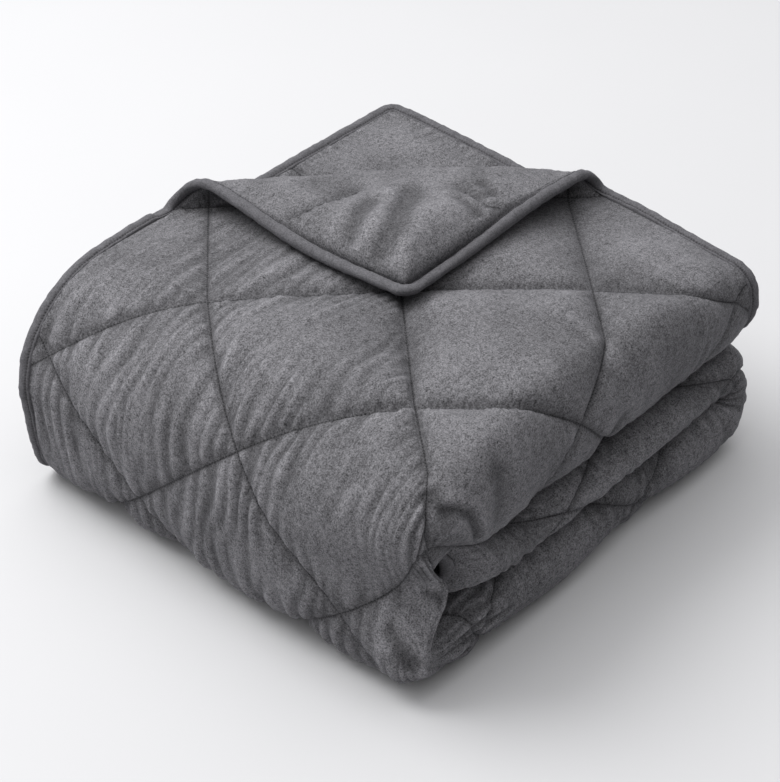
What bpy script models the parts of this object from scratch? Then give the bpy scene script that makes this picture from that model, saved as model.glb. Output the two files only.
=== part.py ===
"""Quilted blanket, folded in half across its width and then in three along its length.

The blanket is laid out flat first. There s runs along its length, from the end that lies on top
of the stack, and w runs across its width, from the open long edge of the upper layer. place()
then carries a flat point to where it lies in the folded stack. Metres, +Z up: the stack stands
on z = 0, the roll of the half fold faces -Y and the big turn of the lengthwise fold faces -X.
"""

import bmesh
import bpy
import numpy as np
from mathutils import Vector

# Flat blanket.
LENGTH = 1.935
CELL = 0.200  # side of a quilted square; its seams run at 45 degrees to the edges
DIAGONAL = CELL * 2**0.5
SEAM_DIFFERENCE = -0.5625  # x - y of one seam of the top face
SEAM_SUM = -0.0059  # x + y of one seam that crosses it
GROOVE_DEEP = 0.011
GROOVE_SHARE = 0.3  # of the thickness, where the cloth is thin
GROOVE_WIDE = 0.085  # from a seam to where the cloth has its full thickness
CROWN_WIDE = 0.055  # the same from the binding
BLUNTNESS = 1.5  # how much narrower the crown is at the hidden end, beside the roll
BLUNT_BESIDE_ROLL = (0.09, 0.20)
LAYER_AIR = 0.003  # between two layers that lie on each other

# The corners whose back shows have seams of their own, not the valleys of the lattice.
CORNERS_TO_S = (0.38, 0.44)  # from the end on top, where the lattice begins again
CORNERS_TO_W = (0.38, 0.44)  # the same from either side
CORNER_SUNK = 0.005  # how much flatter the cloth is there

# Binding.
TONGUE_WIDE = 0.0065  # strip of the cloth that lies inside the binding
TONGUE_THICK = 0.004
BINDING_CLEAR = 0.0005
BINDING_LAP = 0.006  # over the cloth
BINDING_LIP = 0.005  # past its edge
BINDING_THICK = 0.011
EDGE_SINK = 0.0065  # how far the thin edge lies under the crown beside it
CORNER_ROUND = 0.016
LEAN_CHANGES = 0.25  # width past the roll over which the cloth goes from outer to inner layer
INNER_END = 0.15  # the thin edges lie outside in a pair of layers, but inside at the hidden end
ROLLED_LEAN = 1.2  # how much less the hidden end leans in beside the roll

# Folded stack.
STACK_HIGH = 0.2885
LAYER = STACK_HIGH / 6
END_X = 0.3175  # end of the blanket that lies on top
UPPER_EDGE_Y = 0.308
LOWER_EDGE_Y = 0.290
ROLL_Y = -0.2085  # where the half fold begins to turn
ROLL_DEEP = 0.0423
ROLL_HIGH = 0.21 * STACK_HIGH
ROLL_SQUARE = 2.15
BIG_TURN_X = -0.1346
BIG_TURN = {"deep": 0.1373, "high": 3 * LAYER, "square_up": 2.05, "square_low": 4.6}
SQUARE_CHANGES = (-0.3, 0.8)  # where on the way down a turn gets squarer
BIG_TURN_SQUEEZE = 0.45  # share of the layers' thickness lost in the middle of the turn
ROLLED_SQUEEZE = 0.74  # the same beside the roll, where the turn ends in a sharp fold
SQUEEZE_POWER, ROLLED_SQUEEZE_POWER = 4, 2  # the lower, the more of the turn is pressed
SQUEEZE_CHANGES = (-0.04, 0.10)  # past the start of the roll
INNER_REACH = 0.024  # how much further the hidden end reaches into the turn beside the roll
SMALL_TURN_X = 0.2595
SMALL_TURN = {"deep": 0.0794, "high": 2 * LAYER, "square_up": 2.6, "square_low": 2.6}
SMALL_TURN_RUN = 0.150  # length of cloth, at mid thickness, that the small turn takes
DRAWN_IN_ENDS = 0.009  # how far the roll is drawn in where it goes round the big turn
DRAWN_IN_MIDDLE = 0.013
DRAWN_IN_HEIGHT, DRAWN_IN_SPREAD = 0.135, 0.06
OPEN_DRAWN_IN = 0.013  # how far the open side is drawn in there
OPEN_DRAWN_HEIGHT, OPEN_DRAWN_SPREAD = 0.10, 0.10
OPEN_DRAWN_FROM_Y = (0.05, 0.27)
TUCK = 0.056  # how far the big turn's edge beside the roll is pushed in at that height
TUCK_FROM_X = (0.10, 0.235)
TUCK_FROM_Y = 0.04
TUCK_LONG = 0.21
DRAWN_IN_FROM_X = (0.02 - BIG_TURN_X, 0.13 - BIG_TURN_X)  # how far out it starts, and is full
DRAWN_IN_FROM_Y = (-0.03 - ROLL_Y, 0.04 - ROLL_Y)
TURN_TO_STACK = (BIG_TURN_X - 0.10, BIG_TURN_X + 0.06)
ROLLED_TO_OPEN = (-0.26, 0.26)
DOME = 0.191  # the top falls away by DOME * distance ** 2 from its highest point
DOME_X, DOME_Y = -0.086, -0.129
DROOP = 0.011  # how much further the corner of the top end sinks, beside the roll
DROOP_FROM_X, DROOP_FROM_Y = (0.10, 0.32), (-0.12, 0.22)
REST_SINK = 0.0035  # how far the puffs are flattened on what the stack lies on
STACK_MIDDLE = (0.0324, 0.03185)  # middle of the footprint in the coordinates above

# Height of each pair of layers once settled, beside its height in an even stack.
EVEN_HEIGHTS = (0.0, 2 * LAYER, 4 * LAYER, 6 * LAYER)
ROLLED_SIDE_HEIGHTS = (0.0, 0.0853, 0.1356, 6 * LAYER)
OPEN_SIDE_HEIGHTS = (0.0, 0.0921, 0.1966, 6 * LAYER)

# Corner of the upper layer, turned back over a crease.
CREASE_START = np.array([-0.066, UPPER_EDGE_Y])
CREASE_END = np.array([END_X, -0.045])
CREASE_BOW = 0.010
CREASE_ENDS = 0.35  # share of the crease over which its radius changes at each end
CREASE_RADII = {"start": 0.024, "middle": 0.019, "end": 0.0155}
TIP = np.array([-0.026, -0.035])  # where the corner comes to lie
TIP_LIFT = 0.002
CREASE_AIR = 0.0015  # from the crease's middle to the cloth inside it
FLAP_SETTLE = 0.16  # distance behind the crease over which the corner comes down

# Mesh.
STEP = DIAGONAL / 8
CREASE_CUTS = (-0.012, 0.004, 0.020, 0.036, 0.052)  # lines along the crease, past it
CREASE_SNAP = 0.004
MOST_SEAMS = 16
RIM_LONG = 100.0  # makes the way in from the edge count for more than the height
FACE, BACK, FACE_EDGE, BACK_EDGE = 1, -1, 2, -2  # rows of the panel's vertices
BINDING_SECTION = (
    # in from the edge of the cloth, up on its face side
    (-BINDING_LIP, 0),
    (-0.5 * BINDING_LIP, 0.42 * BINDING_THICK),
    (0.5 * BINDING_LAP, 0.50 * BINDING_THICK),
    (BINDING_LAP, 0.36 * BINDING_THICK),
    (BINDING_LAP, TONGUE_THICK / 2 + BINDING_CLEAR),
    (-BINDING_CLEAR, TONGUE_THICK / 2 + BINDING_CLEAR),
    (-BINDING_CLEAR, -TONGUE_THICK / 2 - BINDING_CLEAR),
    (BINDING_LAP, -TONGUE_THICK / 2 - BINDING_CLEAR),
    (BINDING_LAP, -0.36 * BINDING_THICK),
    (0.5 * BINDING_LAP, -0.50 * BINDING_THICK),
    (-0.5 * BINDING_LIP, -0.42 * BINDING_THICK),
)

# Finish.
CLOTH_COLOR = (0.085, 0.084, 0.092)
BINDING_COLOR = (0.070, 0.069, 0.077)
CLOTH_ROUGHNESS = 0.95


def ease(value, low=0.0, high=1.0):
    """A smooth rise from 0 at low to 1 at high."""
    share = np.clip((value - low) / (high - low), 0, 1)
    return share * share * (3 - 2 * share)


def blend(first, second, share):
    return first + (second - first) * share


def half_oval(angle, deep, high, square_up, square_low):
    """Point at an angle from the top of a half oval, which may be squarer below than above."""
    sine, cosine = np.sin(angle), np.cos(angle)
    power = 2 / blend(square_up, square_low, ease(-cosine, *SQUARE_CHANGES))
    return deep * np.abs(sine) ** power, high * np.sign(cosine) * np.abs(cosine) ** power


def lengths_round(deep, high, square_up, square_low, count=1441):
    """Length along a half oval, and the angle reached there."""
    angle = np.linspace(0, np.pi, count)
    out, up = half_oval(angle, deep, high, square_up, square_low)
    return np.concatenate([[0], np.cumsum(np.hypot(np.diff(out), np.diff(up)))]), angle


BIG_TURN_TABLE = lengths_round(**BIG_TURN)
SMALL_TURN_TABLE = lengths_round(**SMALL_TURN)
ROLL_TABLE = lengths_round(ROLL_DEEP, ROLL_HIGH, ROLL_SQUARE, ROLL_SQUARE)

# Distances from the end on top at which each turn starts and ends, and the same across.
BIG_TURN_FROM = END_X - BIG_TURN_X
BIG_TURN_TO = BIG_TURN_FROM + BIG_TURN_TABLE[0][-1]
SMALL_TURN_FROM = BIG_TURN_TO + SMALL_TURN_X - BIG_TURN_X
SMALL_TURN_TO = SMALL_TURN_FROM + SMALL_TURN_RUN
ROLL_FROM = UPPER_EDGE_Y - ROLL_Y
ROLL_TO = ROLL_FROM + ROLL_TABLE[0][-1]
WIDTH = ROLL_TO + LOWER_EDGE_Y - ROLL_Y
FLAT_MIDDLE = Vector((LENGTH / 2, WIDTH / 2))


def fold_in_three(s, y, depth):
    """x and z of a point s along, depth inside the pair of layers from its outer face."""
    rolled = 1 - ease(y - ROLL_Y, *SQUEEZE_CHANGES)
    angle = np.interp(s - BIG_TURN_FROM, *BIG_TURN_TABLE)
    out, up = half_oval(angle, **BIG_TURN)
    power = blend(SQUEEZE_POWER, ROLLED_SQUEEZE_POWER, rolled)
    pressed = 1 - blend(BIG_TURN_SQUEEZE, ROLLED_SQUEEZE, rolled) * np.sin(angle) ** power
    share = 1 - depth * pressed / BIG_TURN["high"]
    beyond = np.maximum(BIG_TURN_FROM - s, 0) + np.maximum(s - BIG_TURN_TO, 0)
    big = BIG_TURN_X - out * share + beyond, 3 * LAYER + up * share

    covered = np.clip((s - SMALL_TURN_FROM) / SMALL_TURN_RUN, 0, 1) * SMALL_TURN_TABLE[0][-1]
    out, up = half_oval(np.interp(covered, *SMALL_TURN_TABLE), **SMALL_TURN)
    share = 1 - depth / SMALL_TURN["high"]
    beyond = np.maximum(SMALL_TURN_FROM - s, 0) + np.maximum(s - SMALL_TURN_TO, 0)
    beyond = beyond + INNER_REACH * rolled * ease(s, SMALL_TURN_TO, LENGTH)
    small = SMALL_TURN_X + out * share - beyond, 2 * LAYER - up * share

    on_big = s < (BIG_TURN_TO + SMALL_TURN_FROM) / 2
    return np.where(on_big, big[0], small[0]), np.where(on_big, big[1], small[1])


def fold_in_half(w, rise):
    """y, and depth inside the pair of layers, of a point w across and rise above mid thickness."""
    angle = np.interp(w - ROLL_FROM, *ROLL_TABLE)
    out, up = half_oval(angle, 1.0, 1.0, ROLL_SQUARE, ROLL_SQUARE)
    radius = LAYER / 2 + rise
    beyond = np.maximum(ROLL_FROM - w, 0) + np.maximum(w - ROLL_TO, 0)
    return ROLL_Y - radius * out + beyond, LAYER - radius * up


def settle(x, y, z):
    """The even stack pressed down and drawn in by its own weight, with the big turn kept full."""
    inside = ease(x, *TURN_TO_STACK)
    rolled = np.interp(z, EVEN_HEIGHTS, ROLLED_SIDE_HEIGHTS)
    opened = np.interp(z, EVEN_HEIGHTS, OPEN_SIDE_HEIGHTS)
    level = blend(rolled, opened, ease(y, *ROLLED_TO_OPEN))
    level = level + np.maximum(z - STACK_HIGH, 0) + np.minimum(z, 0)
    level = blend(z, level, inside)

    y = np.where(y < ROLL_Y, ROLL_Y + (y - ROLL_Y) * ROLL_DEEP / LAYER, y)
    middle = np.exp(-(((z - DRAWN_IN_HEIGHT) / DRAWN_IN_SPREAD) ** 2))
    drawn = blend(DRAWN_IN_ENDS, DRAWN_IN_MIDDLE, middle)
    tucked = np.clip((-y - TUCK_FROM_Y) / TUCK_LONG, 0, 1) ** 2 * middle
    y = y + drawn * ease(-x, *DRAWN_IN_FROM_X) * ease(-y, *DRAWN_IN_FROM_Y)
    opened = np.exp(-(((z - OPEN_DRAWN_HEIGHT) / OPEN_DRAWN_SPREAD) ** 2)) * ease(y, *OPEN_DRAWN_FROM_Y)
    y = y - OPEN_DRAWN_IN * opened * ease(-x, *DRAWN_IN_FROM_X)
    x = x + TUCK * tucked * ease(-x, *TUCK_FROM_X)

    fall = DOME * ((x - DOME_X) ** 2 + (y - DOME_Y) ** 2)
    top = blend(np.clip(z / STACK_HIGH, 0, 1), np.clip(z / LAYER - 5, 0, 1), inside)
    fall = fall + DROOP * ease(x, *DROOP_FROM_X) * ease(-y, *DROOP_FROM_Y)
    level = np.maximum(level - fall * top - REST_SINK, 0)
    return np.stack([x - STACK_MIDDLE[0], y - STACK_MIDDLE[1], level], -1)


ALONG_CREASE = (CREASE_END - CREASE_START) / np.linalg.norm(CREASE_END - CREASE_START)
PAST_CREASE = np.array([-ALONG_CREASE[1], ALONG_CREASE[0]])
CREASE_LENGTH = np.linalg.norm(CREASE_END - CREASE_START)


def crease_at(p):
    """How far the crease bows back towards the corner at p along it, and its radius there."""
    share = p / CREASE_LENGTH
    bow = -CREASE_BOW * np.clip(1 - (2 * share - 1) ** 2, 0, 1)
    radius = blend(CREASE_RADII["start"], CREASE_RADII["middle"], ease(share, 0, CREASE_ENDS))
    return bow, blend(radius, CREASE_RADII["end"], ease(share, 1 - CREASE_ENDS, 1))


def crease_coordinates(x, y):
    across_x, across_y = x - CREASE_START[0], y - CREASE_START[1]
    p = across_x * ALONG_CREASE[0] + across_y * ALONG_CREASE[1]
    return p, across_x * PAST_CREASE[0] + across_y * PAST_CREASE[1]


CORNER_P, CORNER_Q = crease_coordinates(END_X, UPPER_EDGE_Y)
TIP_P, TIP_Q = crease_coordinates(*TIP)
CORNER_BOW, CORNER_RADIUS = crease_at(CORNER_P)
FLAP_STRETCH = (CORNER_BOW - TIP_Q + np.pi * CORNER_RADIUS) / (CORNER_Q - CORNER_BOW)
FLAP_SHEAR = (TIP_P - CORNER_P) / (CORNER_BOW - TIP_Q)


def edge_distance(s, w):
    return np.minimum(np.minimum(s, LENGTH - s), np.minimum(w, WIDTH - w))


def beside_roll(w):
    return 1 - ease(np.abs(w - (ROLL_FROM + ROLL_TO) / 2), *BLUNT_BESIDE_ROLL)


def crown_share(s, w):
    """0 at the tongue to 1 where the cloth is full; the hidden end is blunter beside the roll."""
    end = (LENGTH - TONGUE_WIDE - s) * (1 + BLUNTNESS * beside_roll(w))
    edges = np.minimum(s, np.minimum(w, WIDTH - w)) - TONGUE_WIDE
    return np.clip(np.minimum(edges, end) / CROWN_WIDE, 0, 1)


def seam_distance(s, w):
    x, y = END_X - s, UPPER_EDGE_Y - w
    first = (x - y - SEAM_DIFFERENCE) / DIAGONAL
    second = (x + y - SEAM_SUM) / DIAGONAL
    nearest = np.minimum(np.abs(first - np.round(first)), np.abs(second - np.round(second)))
    return nearest * CELL


def corner_share(s, w):
    """1 at the two corners whose back shows, 0 elsewhere."""
    return (1 - ease(s, *CORNERS_TO_S)) * (1 - ease(np.minimum(w, WIDTH - w), *CORNERS_TO_W))


def thickness(s, w):
    """Thickness of the cloth between seams, and how full it is there, from 0 at its edge to 1."""
    full = np.sqrt(1 - (1 - crown_share(s, w)) ** 2)
    return blend(TONGUE_THICK, LAYER - LAYER_AIR, full), full


def half_thickness(s, w, side):
    """Half the thickness of the quilted cloth on one side: puffs between the valleys of its seams."""
    thick, full = thickness(s, w)
    corner = np.where(side < 0, corner_share(s, w), 0)
    valley = GROOVE_DEEP * (1 - np.clip(seam_distance(s, w) / GROOVE_WIDE, 0, 1)) ** 2
    valley = blend(valley, CORNER_SUNK, corner)
    return thick / 2 - np.minimum(valley, GROOVE_SHARE * thick * full)


def place(s, w, rise, on_rim=False):
    """The folded place of a flat point, rise above mid thickness on the blanket's face side."""
    p, q = crease_coordinates(END_X - s, UPPER_EDGE_Y - w)
    bow, radius = crease_at(p)
    past = np.maximum(q - bow, 0) * FLAP_STRETCH
    angle = np.clip(past / (np.pi * radius), 0, 1) * np.pi
    back = np.maximum(past - np.pi * radius, 0)
    on_corner = (s < BIG_TURN_FROM) & (w < ROLL_FROM)
    squeeze = 1 - 2 * (radius - CREASE_AIR) / LAYER
    squeeze = 1 - squeeze * (1 - ease(np.maximum(back, bow - q), 0, FLAP_SETTLE))
    rise = np.where(on_corner & (rise > 0), rise * squeeze, rise)

    thick, full = (TONGUE_THICK, 0) if on_rim else thickness(s, w)
    upper = 1 - 2 * ease(w, ROLL_TO, ROLL_TO + LEAN_CHANGES)
    turned = 2 - ROLLED_LEAN * beside_roll(w)
    upper = upper * (1 - turned * ease(s, LENGTH - INNER_END, LENGTH - CROWN_WIDE))
    middle = upper * ((LAYER - LAYER_AIR - thick) / 2 - EDGE_SINK * (1 - full))
    y, depth = fold_in_half(w, middle + rise)
    x, z = fold_in_three(s, y, depth)
    base = 5.5 * LAYER + middle
    landed = STACK_HIGH + TIP_LIFT + thick / 2 - base
    lift = blend(2 * radius, landed, ease(back, 0, FLAP_SETTLE))
    lift = np.where(back > 0, lift, radius * (1 - np.cos(angle)))
    q_folded = bow + (radius - rise) * np.sin(angle) - back
    p_folded = p + FLAP_SHEAR * back
    folded = (q > bow) & on_corner
    x_folded = CREASE_START[0] + ALONG_CREASE[0] * p_folded + PAST_CREASE[0] * q_folded
    y_folded = CREASE_START[1] + ALONG_CREASE[1] * p_folded + PAST_CREASE[1] * q_folded
    x = np.where(folded, x_folded, x)
    y = np.where(folded, y_folded, y)
    z = np.where(folded, base + lift + rise * np.cos(angle), z)
    return settle(x, y, z)


def rounded(s, w):
    """A flat point near a square corner moved to where it lies once the corner is rounded."""
    half = np.array([LENGTH, WIDTH]) / 2
    offset = np.stack([s, w], -1) - half
    past = (np.abs(offset) - half + CORNER_ROUND) / CORNER_ROUND
    near = (past > 0).all(-1, keepdims=True)
    past = np.maximum(past, 1e-9)
    pull = past.max(-1, keepdims=True) / np.linalg.norm(past, axis=-1, keepdims=True)
    corner = half - CORNER_ROUND + past * pull * CORNER_ROUND
    flat = half + np.where(near, np.sign(offset) * corner, offset)
    return flat[..., 0], flat[..., 1]


def edge_frames(s, w):
    """At points on the tongue's inner line: the blanket's edge, and its inward and face directions."""
    near = 1.01 * TONGUE_WIDE
    edge_s = np.where(s < near, 0, np.where(s > LENGTH - near, LENGTH, s))
    edge_w = np.where(w < near, 0, np.where(w > WIDTH - near, WIDTH, w))
    edge = place(*rounded(edge_s, edge_w), 0, on_rim=True)
    inner = place(*rounded(s, w), 0, on_rim=True)
    face = place(*rounded(s, w), 0.001, on_rim=True) - inner
    face /= np.linalg.norm(face, axis=-1, keepdims=True)
    return edge, (inner - edge) / TONGUE_WIDE, face


def flat_panel():
    """Flat mesh of the cloth inside its tongue, as x = s and y = w, cut along seams and crease."""
    bm = bmesh.new()
    first_s = (END_X - (SEAM_DIFFERENCE + SEAM_SUM) / 2) % STEP - STEP
    first_w = (UPPER_EDGE_Y - (SEAM_SUM - SEAM_DIFFERENCE) / 2) % STEP - STEP
    count_s, count_w = int(LENGTH / STEP) + 3, int(WIDTH / STEP) + 3
    bmesh.ops.create_grid(bm, x_segments=count_s, y_segments=count_w, size=0.5)
    for vertex in bm.verts:
        vertex.co.x = first_s + (vertex.co.x + 0.5) * count_s * STEP
        vertex.co.y = first_w + (vertex.co.y + 0.5) * count_w * STEP

    cut(bm, (TONGUE_WIDE, 0), (-1, 0), clear=True)
    cut(bm, (LENGTH - TONGUE_WIDE, 0), (1, 0), clear=True)
    cut(bm, (0, TONGUE_WIDE), (0, -1), clear=True)
    cut(bm, (0, WIDTH - TONGUE_WIDE), (0, 1), clear=True)
    for line in np.arange(first_s + STEP / 2, SMALL_TURN_TO + STEP / 2, STEP):
        if line > SMALL_TURN_FROM - STEP / 2:
            cut(bm, (line, 0), (1, 0))
    for line in np.arange(first_w + STEP / 2, ROLL_TO + STEP / 2, STEP):
        if line > ROLL_FROM - STEP / 2:
            cut(bm, (0, line), (0, 1))
    for number in range(-MOST_SEAMS, MOST_SEAMS):
        cut(bm, (END_X - SEAM_DIFFERENCE - number * DIAGONAL, UPPER_EDGE_Y), (1, -1))
        cut(bm, (END_X - SEAM_SUM - number * DIAGONAL, UPPER_EDGE_Y), (1, 1))
    for past in CREASE_CUTS:
        start = CREASE_START + PAST_CREASE * past
        through = (END_X - start[0], UPPER_EDGE_Y - start[1])
        cut(bm, through, -PAST_CREASE, snap=CREASE_SNAP)
    return bm


def cut(bm, through, normal, clear=False, snap=1e-5):
    """Cuts the flat mesh along a line, and drops what the normal points to where clear is set."""
    bmesh.ops.bisect_plane(
        bm,
        geom=bm.verts[:] + bm.edges[:] + bm.faces[:],
        dist=snap,
        plane_co=(*through, 0),
        plane_no=(*normal, 0),
        clear_outer=clear,
    )


def rim_of(bm):
    return [edge for edge in bm.edges if edge.is_boundary]


def extrude_rim(bm, rim, row):
    """A new row of vertices at the same flat points as the rim, marked by its height."""
    made = bmesh.ops.extrude_edge_only(bm, edges=rim)["geom"]
    for vertex in made:
        if isinstance(vertex, bmesh.types.BMVert):
            vertex.co.z = row
    return [edge for edge in made if isinstance(edge, bmesh.types.BMEdge) and on_row(edge, row)]


def on_row(edge, row):
    return all(vertex.co.z == row for vertex in edge.verts)


def split_rim_quads(bm, inward, up):
    """Splits each quad between two stations of the rim the same way round, so that faces of the
    tongue and the binding that lie on each other stay parallel."""
    order = inward * RIM_LONG + up
    for face in bm.faces[:]:
        corners = sorted(face.verts, key=lambda vertex: vertex.co.xy[:])
        if len(corners) != 4 or not same_station(*corners[:2]) or not same_station(*corners[2:]):
            continue
        first, second = corners[:2], corners[2:]
        if (first[0].co.xy - FLAT_MIDDLE).cross(second[0].co.xy - FLAT_MIDDLE) < 0:
            first, second = second, first
        low = min(first, key=lambda vertex: order[vertex.index])
        high = max(second, key=lambda vertex: order[vertex.index])
        bmesh.utils.face_split(face, low, high)


def same_station(first, second):
    return first.co.xy == second.co.xy


def flat_points(bm):
    points = np.array([vertex.co for vertex in bm.verts])
    return points[:, 0], points[:, 1], points[:, 2]


def new_object(name, bm, points, material, collection):
    for vertex, point in zip(bm.verts, points):
        vertex.co = point
    bmesh.ops.recalc_face_normals(bm, faces=bm.faces[:])
    if bm.calc_volume(signed=True) < 0:
        bmesh.ops.reverse_faces(bm, faces=bm.faces[:])
    bmesh.ops.triangulate(bm, faces=bm.faces[:], quad_method="SHORT_EDGE")
    mesh = bpy.data.meshes.new(name)
    bm.to_mesh(mesh)
    bm.free()
    mesh.shade_smooth()
    mesh.materials.append(material)
    collection.objects.link(bpy.data.objects.new(name, mesh))


def build_panel(material, collection):
    """The quilted cloth with its filling: a face and a back that meet in a thin tongue."""
    bm = flat_panel()
    copied = bmesh.ops.duplicate(bm, geom=bm.verts[:] + bm.edges[:] + bm.faces[:])["geom"]
    for item in bm.verts:
        item.co.z = FACE
    for item in copied:
        if isinstance(item, bmesh.types.BMVert):
            item.co.z = BACK
    rim = rim_of(bm)
    face_edge = extrude_rim(bm, [edge for edge in rim if on_row(edge, FACE)], FACE_EDGE)
    back_edge = extrude_rim(bm, [edge for edge in rim if on_row(edge, BACK)], BACK_EDGE)
    bmesh.ops.bridge_loops(bm, edges=face_edge + back_edge)

    bm.verts.index_update()
    s, w, row = flat_points(bm)
    side = np.sign(row)
    points = place(s, w, side * half_thickness(s, w, side))
    edge, inward, up = edge_frames(s, w)
    tongue = edge_distance(s, w) < TONGUE_WIDE + 1e-5
    in_from_edge = np.where(np.abs(row) > 1, 0, TONGUE_WIDE)
    thin = edge + inward * in_from_edge[:, None] + up * (side * TONGUE_THICK / 2)[:, None]
    split_rim_quads(bm, in_from_edge, side)
    new_object("quilted_panel", bm, np.where(tongue[:, None], thin, points), material, collection)


def build_binding(material, collection):
    """One folded tape round the whole edge, with the tongue in its slot."""
    bm = flat_panel()
    inside = [vertex for vertex in bm.verts if not vertex.is_boundary]
    chords = [edge for edge in bm.edges if not edge.is_boundary]
    bmesh.ops.delete(bm, geom=chords, context="EDGES_FACES")
    bmesh.ops.delete(bm, geom=inside, context="VERTS")
    rows = first = bm.edges[:]
    for number in range(1, len(BINDING_SECTION)):
        rows = extrude_rim(bm, rows, number)
    bmesh.ops.bridge_loops(bm, edges=first + rows)
    bm.verts.index_update()
    s, w, row = flat_points(bm)
    edge, inward, up = edge_frames(s, w)
    section = np.array(BINDING_SECTION)[row.astype(int)]
    points = edge + inward * section[:, :1] + up * section[:, 1:]
    split_rim_quads(bm, section[:, 0], section[:, 1])
    new_object("edge_binding", bm, points, material, collection)


def new_material(name, color):
    material = bpy.data.materials.new(name)
    material.use_nodes = True
    shader = material.node_tree.nodes["Principled BSDF"]
    shader.inputs["Base Color"].default_value = (*color, 1)
    shader.inputs["Roughness"].default_value = CLOTH_ROUGHNESS
    shader.inputs["Metallic"].default_value = 0
    return material


def main():
    for old in list(bpy.data.objects):
        bpy.data.objects.remove(old, do_unlink=True)
    collection = bpy.data.collections.new("weighted_blanket")
    bpy.context.scene.collection.children.link(collection)
    build_panel(new_material("brushed cloth", CLOTH_COLOR), collection)
    build_binding(new_material("binding tape", BINDING_COLOR), collection)


main()
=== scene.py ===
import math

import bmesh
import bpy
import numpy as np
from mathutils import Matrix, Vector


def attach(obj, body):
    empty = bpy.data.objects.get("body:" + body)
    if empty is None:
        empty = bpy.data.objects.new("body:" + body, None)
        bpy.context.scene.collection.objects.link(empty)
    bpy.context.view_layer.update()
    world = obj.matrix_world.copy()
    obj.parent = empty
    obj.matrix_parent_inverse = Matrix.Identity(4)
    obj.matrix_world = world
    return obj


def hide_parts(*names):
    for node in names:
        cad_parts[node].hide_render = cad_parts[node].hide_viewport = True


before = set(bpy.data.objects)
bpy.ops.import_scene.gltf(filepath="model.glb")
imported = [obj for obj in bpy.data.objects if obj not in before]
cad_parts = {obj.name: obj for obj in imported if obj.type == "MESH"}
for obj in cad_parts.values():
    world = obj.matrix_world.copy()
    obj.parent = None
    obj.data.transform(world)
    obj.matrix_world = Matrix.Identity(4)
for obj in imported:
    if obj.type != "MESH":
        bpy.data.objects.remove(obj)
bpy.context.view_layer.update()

# Quilted weighted blanket, folded in half across its width and in three along its length, with
# the corner on top turned back. It is laid out flat first: s runs along its length from the end
# that lies on top, and w across its width from the open edge of the upper layer. place() carries
# a flat point to where it lies in the folded stack. Metres, +Z up.

# Flat blanket.
LENGTH = 1.935
CELL = 0.200  # side of a quilted square; its seams run at 45 degrees to the edges
DIAGONAL = CELL * 2**0.5
SEAM_DIFFERENCE = -0.5625  # x - y of one seam of the top face
SEAM_SUM = -0.0059  # x + y of one seam that crosses it
GROOVE_DEEP = 0.011
GROOVE_SHARE = 0.3  # of the thickness, where the cloth is thin
GROOVE_WIDE = 0.085  # from a seam to where the cloth has its full thickness
CROWN_WIDE = 0.055  # the same from the binding
BLUNTNESS = 1.5  # how much narrower the crown is at the hidden end, beside the roll
BLUNT_BESIDE_ROLL = (0.09, 0.20)
LAYER_AIR = 0.003  # between two layers that lie on each other

# The corners whose back shows have seams of their own, not the valleys of the lattice.
CORNERS_TO_S = (0.38, 0.44)  # from the end on top, where the lattice begins again
CORNERS_TO_W = (0.38, 0.44)  # the same from either side
CORNER_SUNK = 0.005  # how much flatter the cloth is there

# Binding.
TONGUE_WIDE = 0.0065  # strip of the cloth that lies inside the binding
TONGUE_THICK = 0.004
NEAR_TONGUE = 1.01 * TONGUE_WIDE  # what lies nearer to the edge is on the tongue
FACE_STEP = 0.001  # the rise that shows which way the face side looks
EDGE_SINK = 0.0065  # how far the thin edge lies under the crown beside it
CORNER_ROUND = 0.016
LEAN_CHANGES = 0.25  # width past the roll over which the cloth goes from outer to inner layer
INNER_END = 0.15  # the thin edges lie outside in a pair of layers, but inside at the hidden end
ROLLED_LEAN = 1.2  # how much less the hidden end leans in beside the roll

# Folded stack.
STACK_HIGH = 0.2885
LAYER = STACK_HIGH / 6
END_X = 0.3175  # end of the blanket that lies on top
UPPER_EDGE_Y = 0.308
LOWER_EDGE_Y = 0.290
ROLL_Y = -0.2085  # where the half fold begins to turn
ROLL_DEEP = 0.0423
ROLL_HIGH = 0.21 * STACK_HIGH
ROLL_SQUARE = 2.15
BIG_TURN_X = -0.1346
BIG_TURN = {"deep": 0.1373, "high": 3 * LAYER, "square_up": 2.05, "square_low": 4.6}
SQUARE_CHANGES = (-0.3, 0.8)  # where on the way down a turn gets squarer
BIG_TURN_SQUEEZE = 0.45  # share of the layers' thickness lost in the middle of the turn
ROLLED_SQUEEZE = 0.74  # the same beside the roll, where the turn ends in a sharp fold
SQUEEZE_POWER, ROLLED_SQUEEZE_POWER = 4, 2  # the lower, the more of the turn is pressed
SQUEEZE_CHANGES = (-0.04, 0.10)  # past the start of the roll
INNER_REACH = 0.024  # how much further the hidden end reaches into the turn beside the roll
SMALL_TURN_X = 0.2595
SMALL_TURN = {"deep": 0.0794, "high": 2 * LAYER, "square_up": 2.6, "square_low": 2.6}
SMALL_TURN_RUN = 0.150  # length of cloth, at mid thickness, that the small turn takes
DRAWN_IN_ENDS = 0.009  # how far the roll is drawn in where it goes round the big turn
DRAWN_IN_MIDDLE = 0.013
DRAWN_IN_HEIGHT, DRAWN_IN_SPREAD = 0.135, 0.06
OPEN_DRAWN_IN = 0.013  # how far the open side is drawn in there
OPEN_DRAWN_HEIGHT, OPEN_DRAWN_SPREAD = 0.10, 0.10
OPEN_DRAWN_FROM_Y = (0.05, 0.27)
TUCK = 0.056  # how far the big turn's edge beside the roll is pushed in at that height
TUCK_FROM_X = (0.10, 0.235)
TUCK_FROM_Y = 0.04
TUCK_LONG = 0.21
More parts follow.
